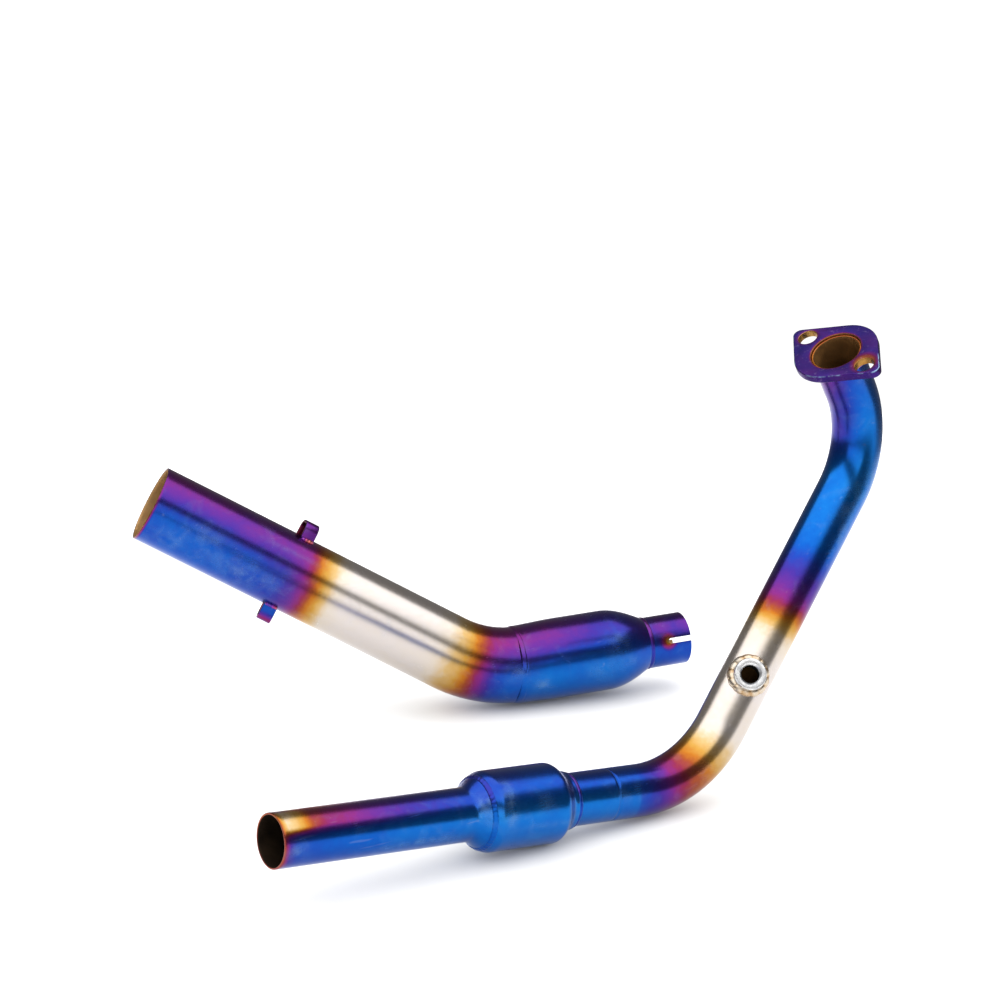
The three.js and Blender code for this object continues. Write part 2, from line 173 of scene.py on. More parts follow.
class Route:
    """Straights and bends laid end to end, as the solids' own pipe routes are."""

    def __init__(self, start, direction, pieces, up=None):
        self.start = start
        self.direction = direction.normalized()
        up = up or Vector((0, 0, 1))
        self.up = (up - self.direction * up.dot(self.direction)).normalized()
        self.pieces = pieces
        self.length = sum(self.piece_length(piece) for piece in pieces)
        self.known = {}

    @staticmethod
    def piece_length(piece):
        return piece[0] * piece[1] if isinstance(piece, tuple) else piece

    def frame_at(self, distance):
        key = round(distance, 4)
        if key not in self.known:
            self.known[key] = self.walk(distance)
        return self.known[key]

    def walk(self, distance):
        point = self.start.copy()
        tangent = self.direction.copy()
        up = self.up.copy()
        left = distance
        for index, piece in enumerate(self.pieces):
            last = index == len(self.pieces) - 1
            step = left if last else min(left, self.piece_length(piece))
            if isinstance(piece, tuple):
                radius, _, roll = piece
                inward = up * math.cos(roll) + tangent.cross(up) * math.sin(roll)
                turn = step / radius
                spin = Matrix.Rotation(turn, 3, tangent.cross(inward))
                point += tangent * (radius * math.sin(turn)) + inward * (radius * (1 - math.cos(turn)))
                tangent = (spin @ tangent).normalized()
                up = (spin @ up).normalized()
            else:
                point += tangent * step
            left -= step
            if left <= 0:
                break
        return point, tangent, up, tangent.cross(up)


def straight(point, direction, up):
    """A route along one line; its stated length doesn't matter, as the last piece runs on."""
    return Route(point, direction, [100.0], up)


def add_object(name, data):
    made = bpy.data.objects.new(name, data)
    bpy.context.scene.collection.objects.link(made)
    return made


def add_values(mesh, values):
    """Stores per-point numbers, or per-point triples, on a mesh by attribute name."""
    for key, numbers in values.items():
        triples = np.ndim(numbers) == 2
        attribute = mesh.attributes.new(key, "FLOAT_VECTOR" if triples else "FLOAT", "POINT")
        field = "vector" if triples else "value"
        attribute.data.foreach_set(field, np.asarray(numbers, np.float32).ravel())


def smooth_object(name, mesh):
    mesh.polygons.foreach_set("use_smooth", [True] * len(mesh.polygons))
    mesh.update()
    return add_object(name, mesh)


def mesh_object(name, points, faces, body, materials, values, inner=None):
    """A smooth mesh, made in metres, that rides on a body. inner: each face's material number."""
    mesh = bpy.data.meshes.new(name)
    mesh.from_pydata([tuple(c * MM for c in p) for p in points], [], faces)
    for material in materials:
        mesh.materials.append(material)
    add_values(mesh, values)
    if inner is not None:
        mesh.polygons.foreach_set("material_index", inner)
    made = smooth_object(name, mesh)
    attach(made, body)
    return made


def ring_quads(ring, after, sides):
    """The quads from one ring of points to another, by the rings' numbers."""
    for j in range(sides):
        beside = (j + 1) % sides
        yield ring * sides + j, ring * sides + beside, after * sides + beside, after * sides + j


def lidded_tube_faces(rings, sides):
    """Quads between rings of points laid one after another, with a lid at each end."""
    faces = []
    for i in range(rings - 1):
        faces += ring_quads(i, i + 1, sides)
    faces.append(tuple(range(sides)))
    faces.append(tuple(range((rings - 1) * sides, rings * sides)))
    return faces


def sharpen(piece, degrees):
    """Marks the edges that turn by more than an angle as sharp."""
    mesh = bmesh.new()
    mesh.from_mesh(piece.data)
    for edge in mesh.edges:
        if len(edge.link_faces) == 2 and edge.calc_face_angle() > math.radians(degrees):
            edge.smooth = False
    mesh.to_mesh(piece.data)
    mesh.free()


def outward(piece):
    """Turns every face to point out."""
    mesh = bmesh.new()
    mesh.from_mesh(piece.data)
    bmesh.ops.recalc_face_normals(mesh, faces=mesh.faces)
    mesh.to_mesh(piece.data)
    mesh.free()


def spread(start, end, step=STEP):
    """Even marks from start to end, both kept."""
    count = max(1, math.ceil(abs(end - start) / step))
    return [start + (end - start) * i / count for i in range(count + 1)]


def ease(x):
    """Smoothly from 0 to 1 as x goes from 0 to 1, and level beyond."""
    x = min(max(x, 0.0), 1.0)
    return x * x * (3 - 2 * x)


def shoulder(start, end, first, last):
    """An eased change of radius, as (distance, radius) pairs."""
    line = []
    for s in spread(start, end, FINE_STEP):
        line.append((s, first + (last - first) * ease((s - start) / (end - start))))
    return line


def level(start, end, radius, step=STEP):
    return [(s, radius) for s in spread(start, end, step)]


def flare_radius(distance):
    return PIPE_R + (SHELL_R - PIPE_R) * ease((distance - FLARE_START) / (FLARE_END - FLARE_START))


def flare(start, end):
    return [(s, flare_radius(s)) for s in spread(start, end, FLARE_STEP)]


def cone(start, end):
    """The chamber's spun cone: steep at its neck and level where it meets the can."""
    rise = CHAMBER_R - CONE_NECK_R
    line = []
    for s in spread(start, end, FINE_STEP):
        swell = math.sin(math.pi / 2 * (s - start) / (end - start))
        line.append((s, CONE_NECK_R + rise * swell))
    return line


def wall_outline(outer, wall, lip=0.35):
    """A closed section: the outer line, a rounded lip at each end, and the inner line back."""
    start, first = outer[0]
    end, last = outer[-1]
    corner = 0.3 * lip
    inside = [(s, r - wall) for s, r in reversed(outer)]
    outer_line = [(start + lip, first)] + outer[1:-1] + [(end - lip, last)]
    inner_line = [(end - lip, last - wall)] + inside[1:-1] + [(start + lip, first - wall)]
    line = [(start, first - lip, False), (start + corner, first - corner, False)]
    line += [(s, r, False) for s, r in outer_line]
    line += [(end - corner, last - corner, False), (end, last - lip, False)]
    line += [(end, last - wall + lip, False), (end - corner, last - wall + corner, True)]
    line += [(s, r, True) for s, r in inner_line]
    line += [(start + corner, first - wall + corner, True), (start, first - wall + lip, False)]
    return line


def bead_outline(centre, width, radius, height, count=12):
    """A closed section of a rounded weld bead. radius: the tube's, as a number or a function of distance."""
    ground = radius if callable(radius) else lambda distance: radius
    line = []
    for i in range(count + 1):
        angle = math.pi * i / count
        distance = centre - width / 2 * math.cos(angle)
        line.append((distance, ground(distance) + height * math.sin(angle), False))
    line.append((centre, ground(centre) - BEAD_ROOT, True))
    return line


def swept(name, route, outline, body, materials, tint, sides=SIDES, ripple=None, keep=None):
    """A ring of points for each place on a closed section, joined into one skin.

    ripple(distance, turn, radius) is added to a radius. keep(middle) is false for a face to leave out.
    """
    rows = []
    heat = []
    mark = []
    for distance, radius, _ in outline:
        point, tangent, up, side = route.frame_at(distance)
        for j in range(sides):
            turn = TAU * j / sides
            grown = radius + (ripple(distance, turn, radius) if ripple else 0)
            rows.append(point + (up * math.cos(turn) + side * math.sin(turn)) * grown)
            warmth, smudge_and_highlight = tint(distance, turn)
            heat.append(warmth)
            mark.append(smudge_and_highlight)
    faces = []
    inner = []
    count = len(outline)
    for i in range(count):
        after = (i + 1) % count
        inside = outline[i][2] and outline[after][2]
        for quad in ring_quads(i, after, sides):
            if keep and not keep(sum((rows[k] for k in quad), Vector()) / 4):
                continue
            faces.append(quad)
            inner.append(1 if inside and len(materials) > 1 else 0)
    values = {"tint": heat, "smudge_and_highlight": mark}
    return mesh_object(name, rows, faces, body, materials, values, inner)


# ---- Heat tint: 0 is bare steel, then straw, gold, magenta, violet and blue at 1 ----


def track(marks, distance):
    """The tint at a distance, in straight lines between (distance, tint) marks."""
    if distance <= marks[0][0]:
        return marks[0][1]
    for (start, first), (end, last) in zip(marks, marks[1:]):
        if distance <= end:
            return first + (last - first) * (distance - start) / (end - start)
    return marks[-1][1]


def away(turn, middle):
    """How far a turn lies from another, 0 to pi."""
    return abs((turn - middle + math.pi) % TAU - math.pi)


def patch(distance, turn, spots, radius):
    """Pale smudges, and on the header's flare two painted highlights: (distance, turn in degrees, length,
    width, strength) each.
    """
    total = 0.0
    for s, angle, length, width, strength in spots:
        along = (distance - s) / length
        around = away(turn, math.radians(angle)) * radius / width
        total += strength * math.exp(-along * along - around * around)
    return total


HEADER_TOP = [
    (0, 0.36), (1.2, 0.3), (3, 0.13), (9, 0.17), (15, 0.26), (21, 0.39), (30, 0.46), (48, 0.51),
    (66, 0.6), (96, 0.7), (135, 0.76), (148, 0.78), (206, 0.8), (246, 0.78), (262, 0.64),
    (273, 0.48), (285, 0.38), (298, 0.28), (312, 0.14), (325, 0.04), (363, 0.0), (380, 0.03),
    (396, 0.13), (404, 0.26), (410, 0.36), (417, 0.48), (426, 0.58), (440, 0.72), (456, 0.86),
    (500, 0.93), (560, 0.9), (580, 0.84), (602, 0.7),
]
HEADER_LOW = [(0, 0.36), (1.2, 0.42), (4, 0.66), (9, 0.78), (40, 0.84), (100, 0.9), (206, 0.92), (246, 0.88)]
# The spots at 133 and 147 mm are painted highlights, light-blue patches where the flare meets the shell; the
# others are pale smudges.
HEADER_SPOTS = [
    (8, 100, 7, 5, 0.5), (96, 118, 16, 2.2, 0.5), (70, 120, 8, 1.5, 0.35), (133, 60, 3.5, 6, 0.9),
    (147, 62, 4, 8, 0.9), (172, 66, 5, 3, 0.45),
    (180, 100, 22, 1.2, 0.3), (238, 70, 9, 6, 0.35), (300, 84, 9, 7, 0.25), (470, 92, 9, 5, 0.4),
    (490, 80, 14, 6, 0.5), (515, 108, 12, 5, 0.6), (540, 118, 8, 4, 0.6), (585, 96, 7, 5, 0.5),
]
LINK_TOP = [
    (0, 0.58), (10, 0.62), (20, 0.56), (26, 0.62), (50, 0.7), (80, 0.62), (118, 0.53), (138, 0.49),
    (146, 0.46), (153, 0.38), (160, 0.29), (168, 0.19), (180, 0.07), (192, 0.0), (252, 0.0),
    (262, 0.08), (270, 0.2), (276, 0.3), (281, 0.4), (286, 0.49), (300, 0.53), (330, 0.55), (392, 0.52),
]
LINK_LOW = [
    (0, 0.8), (18, 0.78), (26, 0.8), (50, 0.88), (100, 0.9), (134, 0.84), (144, 0.72), (151, 0.52),
    (156, 0.4), (161, 0.3), (168, 0.2), (180, 0.07), (192, 0.0), (252, 0.0), (262, 0.1), (270, 0.24),
    (276, 0.36), (281, 0.48), (288, 0.62), (298, 0.73), (320, 0.79), (370, 0.83),
    (390.6, 0.8), (391.6, 0.45), (392.2, 0.36),
]
LINK_SPOTS = [
    (56, -62, 8, 7, 0.5), (48, -92, 7, 4, 0.3), (112, -108, 5, 4, 0.55), (128, -84, 9, 7, 0.35),
    (70, -100, 14, 8, 0.2), (318, -112, 26, 9, 0.4), (352, -88, 14, 8, 0.3), (374, -118, 9, 6, 0.35),
    (300, -50, 22, 2, 0.2),
]
# Where round each pipe the upper tint holds: its middle turn, half its width, and its fade.
HEADER_UPPER = (math.radians(-18), math.radians(66), math.radians(26))
LINK_UPPER = (math.radians(10), math.radians(44), math.radians(66))
LOW_TINT_END = 246
PORT_RIM = 3
PORT_RIM_TINT = 0.32
# The cooler left side of the upper bend: where it starts, how long it takes, and how much it drops.
COOL_START = 500
COOL_FADE = 50
COOL_DROP = 0.22
COOL_TURN = math.radians(-20)
COOL_EDGE = math.radians(95)
COOL_WIDTH = math.radians(70)
# The tints round a slot's blind end: a magenta halo, and a straw core inside it.
HALO_R = 4.4
HALO_WIDTH = 1.4
HALO_TINT = 0.44
HALO_SHARE = 0.6
CORE_R = 3.6
CORE_TINT = 0.17


def lower_share(turn, upper):
    """How much of the lower side's tint a turn takes, 0 to 1."""
    middle, half, fade = upper
    return ease((away(turn, middle) - half) / fade)


def header_tint(distance, turn):
    """The outlet's mouth is gold on its upper side only; further on the tint runs right round."""
    if distance > header.length - PORT_RIM:
        return PORT_RIM_TINT, 0.0
    top = track(HEADER_TOP, distance)
    heat = top
    if distance < LOW_TINT_END:
        heat += (track(HEADER_LOW, distance) - top) * lower_share(turn, HEADER_UPPER)
    if distance > COOL_START:
        left = ease((COOL_EDGE - away(turn, COOL_TURN)) / COOL_WIDTH)
        heat -= COOL_DROP * left * ease((distance - COOL_START) / COOL_FADE)
    return heat, patch(distance, turn, HEADER_SPOTS, PIPE_R)


def link_tint(distance, turn):
    """Violet along the top, blue below, with a bare silver stretch between."""
    top = track(LINK_TOP, distance)
    heat = top + (track(LINK_LOW, distance) - top) * lower_share(turn, LINK_UPPER)
    spots = patch(distance, turn, LINK_SPOTS, LINK_TUBE_R)
    if distance < COLLAR_END:
        gap = math.hypot(distance - SLOT_LENGTH, away(turn, SLOT_TURN) * COLLAR_R)
        heat += (HALO_TINT - heat) * HALO_SHARE * math.exp(-((gap - HALO_R) / HALO_WIDTH) ** 2)
        heat += (CORE_TINT - heat) * math.exp(-(gap / CORE_R) ** 2)
    return heat, spots


def cooler(tint, drop):
    """A weld's tint: a little nearer to bare steel than the pipe's own."""
    return lambda distance, turn: (tint(distance, turn)[0] - drop, 0.0)


def ring_tint(heat):
    """The same tint all round, with a slow drift."""
    return lambda distance, turn: (heat + 0.05 * math.sin(3 * turn + distance), 0.0)


# ---- Materials ----


# The colour of each tint, from bare steel to blue.
TINTS = [
    (0.0, (0.58, 0.53, 0.505)),
    (0.07, (0.58, 0.51, 0.43)),
    (0.15, (0.52, 0.355, 0.155)),
    (0.22, (0.46, 0.25, 0.05)),
    (0.29, (0.4, 0.135, 0.015)),
    (0.35, (0.28, 0.06, 0.02)),
    (0.42, (0.21, 0.022, 0.06)),
    (0.49, (0.17, 0.02, 0.16)),
    (0.57, (0.1, 0.022, 0.21)),
    (0.66, (0.045, 0.024, 0.24)),
    (0.75, (0.014, 0.045, 0.32)),
    (0.84, (0.006, 0.08, 0.39)),
    (0.92, (0.007, 0.125, 0.45)),
    (1.0, (0.02, 0.2, 0.5)),
]
# Pale blue for the film, the smudges and the painted highlight patches.
FILM_AND_HIGHLIGHT_BLUE = (0.22, 0.36, 0.5, 1)
SCRATCH_GREY = (0.5, 0.5, 0.52, 1)
BRIGHT_STEEL = (0.72, 0.72, 0.72, 1)
STAIN_GREY = (0.4, 0.41, 0.43, 1)
PLATE_SHADE = (0.01, 0.004, 0.03, 1)
PLATE_SPECK = (0.35, 0.25, 0.45, 1)
PLATE_WEAR = (0.26, 0.4, 0.58, 1)
PLATE_TINT = 0.62


class Nodes:
    """A material's node tree, built a node at a time."""

    def __init__(self, name):
        self.material = bpy.data.materials.new(name)
        self.material.use_nodes = True
        self.tree = self.material.node_tree
        self.shader = self.tree.nodes["Principled BSDF"]

    def node(self, kind, **settings):
        made = self.tree.nodes.new(kind)
        for key, value in settings.items():
            setattr(made, key, value)
        return made

    def link(self, source, target):
        self.tree.links.new(source, target)

    def feed(self, socket, value):
        if isinstance(value, bpy.types.NodeSocket):
            self.link(value, socket)
        else:
            socket.default_value = value

    def math(self, operation, first, second=0.0, clamp=False):
        made = self.node("ShaderNodeMath", operation=operation, use_clamp=clamp)
        self.feed(made.inputs[0], first)
        self.feed(made.inputs[1], second)
        return made.outputs[0]

    def place(self):
        return self.node("ShaderNodeTexCoord").outputs["Object"]

    def noise(self, scale, detail=3.0, stretch=None, distortion=0.0):
        """Noise in object space, features about 1/scale metres across."""
        made = self.node("ShaderNodeTexNoise")
        made.inputs["Scale"].default_value = scale
        made.inputs["Detail"].default_value = detail
        made.inputs["Distortion"].default_value = distortion
        place = self.place()
        if stretch:
            mapping = self.node("ShaderNodeMapping")
            mapping.inputs["Rotation"].default_value = stretch[0]
            mapping.inputs["Scale"].default_value = stretch[1]
            self.link(place, mapping.inputs["Vector"])
            place = mapping.outputs[0]
        self.link(place, made.inputs["Vector"])
        return made.outputs["Fac"]

    def span(self, value, low, high, to_low=0.0, to_high=1.0):
        made = self.node("ShaderNodeMapRange")
        self.feed(made.inputs["Value"], value)
        made.inputs["From Min"].default_value = low
        made.inputs["From Max"].default_value = high
        made.inputs["To Min"].default_value = to_low
        made.inputs["To Max"].default_value = to_high
        return made.outputs[0]

    def mix(self, share, first, second):
        made = self.node("ShaderNodeMix", data_type="RGBA")
        self.feed(made.inputs[0], share)
        self.feed(made.inputs[6], first)
        self.feed(made.inputs[7], second)
        return made.outputs[2]

    def attribute(self, name, output="Fac"):
        """What the mesh stores under a name, as a number or as a vector."""
        return self.node("ShaderNodeAttribute", attribute_name=name).outputs[output]

    def ramp(self, value, stops):
        made = self.node("ShaderNodeValToRGB")
        elements = made.color_ramp.elements
        while len(elements) < len(stops):
            elements.new(1.0)
        for element, (position, colour) in zip(elements, stops):
            element.position = position
            element.color = (*colour, 1)
        self.feed(made.inputs[0], value)
        return made.outputs[0]

    def bump(self, height, distance):
        """Raises the surface by a height of 0 to 1 times a distance in metres."""
        made = self.node("ShaderNodeBump")
        made.inputs["Distance"].default_value = distance
        made.inputs["Strength"].default_value = 1.0
        self.feed(made.inputs["Height"], height)
        self.link(made.outputs[0], self.shader.inputs["Normal"])

    def finish(self, colour, metallic, roughness):
        self.feed(self.shader.inputs["Base Color"], colour)
        self.shader.inputs["Metallic"].default_value = metallic
        self.feed(self.shader.inputs["Roughness"], roughness)
        return self.material


def tinted_steel(name, roughness=0.24, grain=1.0):
    """Polished steel with heat colours read from the mesh, smudges and painted highlight patches, hairlines
    and a fine brushed grain.
    """
    made = Nodes(name)
    heat = made.attribute("tint")
    drift = made.span(made.noise(38, 4, distortion=0.6), 0.25, 0.75, -0.035, 0.035)
    fine = made.span(made.noise(260, 3), 0.3, 0.7, -0.012, 0.012)
    tint = made.math("ADD", made.math("ADD", heat, drift), fine, clamp=True)
    colour = made.ramp(tint, TINTS)
    smudge_and_highlight = made.attribute("smudge_and_highlight")
    film = made.span(made.noise(62, 5, distortion=1.4), 0.55, 0.72)
    cloud = made.math("MULTIPLY", smudge_and_highlight, made.span(made.noise(150, 4), 0.3, 0.62))
    thin = made.math("MULTIPLY", film, 0.06)
    thick = made.math("MULTIPLY", cloud, 0.45)
    haze_and_highlight = made.math("ADD", thin, thick, clamp=True)
    # The smudge mask also holds painted highlights: pale blue patches on the header's flare, mixed in like
    # the smudges.
    colour = made.mix(haze_and_highlight, colour, FILM_AND_HIGHLIGHT_BLUE)
    hair = made.noise(30, 2, stretch=((0.3, 0.2, 0.5), (1, 26, 9)))
    hairline = made.span(hair, 0.69, 0.73)
    colour = made.mix(made.math("MULTIPLY", hairline, 0.07), colour, SCRATCH_GREY)
    brushed = made.noise(90, 3, stretch=((0, 0, 0), (1, 14, 14)))
    rough = made.span(brushed, 0.3, 0.7, roughness - 0.02, roughness + 0.03)
    rough = made.math("ADD", rough, made.math("MULTIPLY", haze_and_highlight, 0.22))
    made.bump(made.math("ADD", brushed, made.noise(700, 2)), 0.000005 * grain)
    return made.finish(colour, 1.0, rough)


def inner_steel(name, dark, light, roughness):
    """The inside of a pipe, blotched and dull: brown oxide, darkened to near-black painted shade in the
    header and the bung's bore.
    """
    made = Nodes(name)
    blotch = made.span(made.noise(55, 6, distortion=0.8), 0.32, 0.7)
    colour = made.mix(blotch, (*dark, 1), (*light, 1))
    smudge_and_highlight = made.attribute("smudge_and_highlight")
    colour = made.mix(smudge_and_highlight, colour, (*(0.3 * channel for channel in dark), 1))
    made.bump(made.noise(420, 4), 0.00006)
    return made.finish(colour, 0.75, made.span(blotch, 0, 1, roughness, roughness + 0.15))


def weld_steel(name, stops, roughness=0.3):
    """Weld metal: rippled, with its own heat colours from point to point."""
    made = Nodes(name)
    heat = made.attribute("tint")
    drift = made.span(made.noise(170, 3, distortion=0.8), 0.3, 0.7, -0.2, 0.2)
    colour = made.ramp(made.math("ADD", heat, drift, clamp=True), stops)
    made.bump(made.noise(900, 3), 0.00004)
    rough = made.span(made.noise(300, 3), 0.3, 0.7, roughness - 0.06, roughness + 0.1)
    return made.finish(colour, 1.0, rough)


def bung_steel(name):
    """Machined bright steel with turning marks and a few grey stains."""
    made = Nodes(name)
    stain = made.span(made.noise(260, 5, distortion=0.7), 0.42, 0.7)
    colour = made.mix(stain, BRIGHT_STEEL, STAIN_GREY)
    made.bump(made.noise(1500, 3), 0.00002)
    return made.finish(colour, 1.0, made.span(stain, 0, 1, 0.26, 0.44))


def flange_steel(name):
    """Purple-blued plate: warm halos round the holes and worn, pale edges."""
    made = Nodes(name)
    plate = made.attribute("plate", "Vector")

    def near(x, y, low, high):
        """1 within low millimetres of a place on the plate, and 0 beyond high."""
        offset = made.node("ShaderNodeVectorMath", operation="DISTANCE")
        made.link(plate, offset.inputs[0])
        offset.inputs[1].default_value = (x, y, 0)
        return made.span(offset.outputs["Value"], low, high, 1, 0)

    drift = made.span(made.noise(48, 4, distortion=0.7), 0.3, 0.7, -0.05, 0.06)
    heat = made.math("ADD", PLATE_TINT, drift)
    halo = made.math("MULTIPLY", near(STUD_PITCH / 2 - 1.5, 1.5, 6, 10.5), 0.32)
    port = made.math("MULTIPLY", near(0, 0, 16.2, 17.6), 0.27)
    other = made.math("MULTIPLY", near(-STUD_PITCH / 2, 0, 5.6, 8.5), 0.16)
    for warm in (halo, port, other):
        heat = made.math("SUBTRACT", heat, warm, clamp=True)
    colour = made.mix(0.4, made.ramp(heat, TINTS), PLATE_SHADE)
    speck = made.span(made.noise(420, 5), 0.6, 0.72)
    colour = made.mix(made.math("MULTIPLY", speck, 0.2), colour, PLATE_SPECK)
    edge = made.attribute("edge")
    wear = made.math("MULTIPLY", edge, made.span(made.noise(120, 4), 0.48, 0.66))
    colour = made.mix(wear, colour, PLATE_WEAR)
    bare = made.attribute("bare")
    ochre = made.ramp(made.noise(150, 4), [(0.3, (0.3, 0.13, 0.02)), (0.7, (0.42, 0.24, 0.07))])
    colour = made.mix(bare, colour, ochre)
    made.bump(made.noise(520, 4), 0.00003)
    return made.finish(colour, 1.0, made.span(made.noise(200, 4), 0.3, 0.7, 0.34, 0.5))


STEEL = tinted_steel("heat_tinted_steel")
RING_STEEL = tinted_steel("tinted_weld_ring", 0.3, 2.0)
HOOK_STEEL = tinted_steel("tinted_strip", 0.3)
# The header's inside is brown oxide darkened to near-black, painted shade for the dark depth of the pipe.
HEADER_INSIDE_OXIDE_AND_SHADE = inner_steel("header_inside_oxide_and_shade", (0.014, 0.008, 0.004), (0.035, 0.02, 0.01), 0.5)
PORT_INSIDE = inner_steel("port_inside", (0.16, 0.08, 0.025), (0.4, 0.21, 0.07), 0.5)
# The bung's bore is painted shade: near-black for the dark hole into the pipe, not the threaded steel's own
# colour.
BUNG_BORE_SHADE = inner_steel("bung_bore_painted_shade", (0.002, 0.002, 0.001), (0.005, 0.004, 0.003), 0.7)
LINK_INSIDE = inner_steel("link_inside", (0.36, 0.2, 0.075), (0.52, 0.32, 0.135), 0.42)
WELD_GOLD = weld_steel("bung_weld_metal", [
    (0.0, (0.6, 0.57, 0.53)), (0.45, (0.58, 0.48, 0.36)), (0.7, (0.42, 0.27, 0.14)), (0.9, (0.16, 0.11, 0.1)),
])
WELD_VIOLET = weld_steel("violet_weld_metal", [
    (0.0, (0.5, 0.14, 0.1)), (0.3, (0.4, 0.06, 0.2)), (0.6, (0.2, 0.04, 0.34)), (0.9, (0.05, 0.05, 0.32)),
])
BUNG_STEEL = bung_steel("machined_bung_steel")
FLANGE_STEEL = flange_steel("tinted_flange_plate")


# ---- Both pipes' routes, and what their pieces share ----


header = Route(HEADER_START, HEADER_DIRECTION, [OUTLET_RUN, LOWER_BEND, DOWN_RUN, UPPER_BEND, PORT_RUN])
link = Route(LINK_START, LINK_DIRECTION, [LINK_RUN, LINK_BEND, SILENCER_RUN])


def finished(node):
    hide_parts(node)


def dimes(count, height, phase=0.0):
    """Ripples of a weld laid round a tube, as steps in its height."""

    def ripple(distance, turn, radius):
        wave = abs(math.sin(count * turn / 2 + phase + 0.35 * distance))
        return height * (wave ** 0.7 - 0.6) + 0.08 * math.sin(5 * turn + phase)

    return ripple


# ---- Header pipe ----


def header_skin(name, outer, wall, node, inside=HEADER_INSIDE_OXIDE_AND_SHADE, keep=None):
    outline = wall_outline(outer, wall)
    piece = swept(name, header, outline, "header", [STEEL, inside], header_tint, keep=keep)
    finished(node)


def build_outlet():
    outer = level(0, FLARE_START, PIPE_R) + flare(FLARE_START, SHELL_START - SEAM_GAP)[1:]
    header_skin("outlet_skin", outer, PIPE_WALL, "outlet_tube")


def build_resonator():
    outer = flare(SHELL_START + SEAM_GAP, FLARE_END)
    outer += level(FLARE_END, SHOULDER_START, SHELL_R)[1:]
    outer += shoulder(SHOULDER_START, SHOULDER_END, SHELL_R, SLEEVE_R)[1:]
    outer += level(SHOULDER_END, SHELL_END, SLEEVE_R, FINE_STEP)[1:]
    header_skin("resonator_skin", outer, SHELL_WALL, "resonator_shell")


def build_neck():
    header_skin("neck_skin", level(NECK_START, TUBE_SEAM - SEAM_GAP, PIPE_R), PIPE_WALL, "resonator_neck")


def bung_frame():
    """Where the bung stands on the tube's axis, the way out of it, and the way along the tube."""
    point, tangent, up, _ = header.frame_at(BUNG_STATION)
    out = Matrix.Rotation(BUNG_TURN, 3, tangent) @ up
    return point, out, tangent


def build_header_tube():
    point, out, _ = bung_frame()

    def clear_of_port(place):
        offset = place - point
        reach = offset.dot(out)
        return reach < 0 or (offset - out * reach).length > TUBE_PORT_R

    outer = level(TUBE_SEAM + SEAM_GAP, header.length - TUBE_RECESS, PIPE_R)
    header_skin("header_tube_skin", outer, PIPE_WALL, "header_tube", PORT_INSIDE, clear_of_port)


def build_header_rings():
    line = bead_outline(TUBE_SEAM, width=1.4, radius=PIPE_R - 0.35, height=0.3)
    seam = swept("header_seam", header, line, "header", [RING_STEEL], header_tint)
    finished("header_tube_seam")
    line = bead_outline(SHELL_END + 1.3, width=2.8, radius=PIPE_R + 0.2, height=0.95)
    neck = swept("neck_weld", header, line, "header", [RING_STEEL], cooler(header_tint, drop=0.16),
                 ripple=dimes(count=34, height=0.16), sides=2 * SIDES)
    finished("resonator_neck_weld")
    line = bead_outline(SHELL_START, width=2.6, radius=flare_radius, height=0.5)
    shell = swept("resonator_weld", header, line, "header", [RING_STEEL], cooler(header_tint, drop=0.05),
                  ripple=dimes(count=46, height=0.24), sides=3 * SIDES)
    finished("resonator_shell_weld")


def build_bung():
    point, out, along = bung_frame()
    axis = straight(point, out, along)
    outline = [(BUNG_FOOT, BUNG_R, False), (BUNG_SHOULDER, BUNG_R, False)]
    outline += [(BUNG_REACH - depth, radius, False) for depth, radius in BUNG_FACE]
    for i, distance in enumerate(spread(THREAD_TOP, THREAD_END, HALF_THREAD)):
        outline.append((distance, BUNG_HOLE_R + (THREAD_DEPTH if i % 2 else 0.0), True))
    outline.append((BUNG_FOOT, BUNG_HOLE_R, True))
    piece = swept("sensor_bung", axis, outline, "header", [BUNG_STEEL, BUNG_BORE_SHADE], ring_tint(0.0), sides=72)
    sharpen(piece, 30)
    finished("o2_sensor_bung")


def build_bung_weld():
    """A scalloped fillet that follows the saddle where the bung meets the tube."""
    point, out, along = bung_frame()
    across = along.cross(out)
    around = 288
    section = 18
    scallops = 13
    radius = BUNG_R + 0.5
    half_width = 2.7
    half_height = 2.15
    lift = 0.15
    droop = 0.055
    rows = []
    heat = []
    for i in range(around):
        angle = TAU * i / around
        wave = abs(math.sin(scallops * angle / 2 + 0.4)) ** 0.6
        swell = 0.86 + 0.2 * wave + 0.05 * math.sin(3 * angle + 1)
        sideways = abs(radius * math.cos(angle))
        base = math.sqrt(PIPE_R ** 2 - min(sideways, PIPE_R - 1) ** 2)
        aside = across * math.cos(angle) + along * math.sin(angle)
        for j in range(section):
            turn = TAU * j / section
            reach = radius + half_width * swell * math.cos(turn)
            rise = base + lift + half_height * swell * math.sin(turn)
            rise -= droop * max(reach - radius, 0) * sideways
            rows.append(point + aside * reach + out * rise)
            heat.append(0.38 + 0.32 * (1 - wave) + 0.12 * math.sin(4 * angle))
    faces = []
    for i in range(around):
        faces += [(a, d, c, b) for a, b, c, d in ring_quads(i, (i + 1) % around, section)]
    piece = mesh_object("bung_weld", rows, faces, "header", [WELD_GOLD], {"tint": heat})
    finished("o2_bung_weld")


def tangent_normal(disc, after):
    """Angle of the outward normal of the straight that touches two discs, the second further round."""
    dx = after[0] - disc[0]
    dy = after[1] - disc[1]
    return math.atan2(dy, dx) - math.acos((disc[2] - after[2]) / math.hypot(dx, dy))


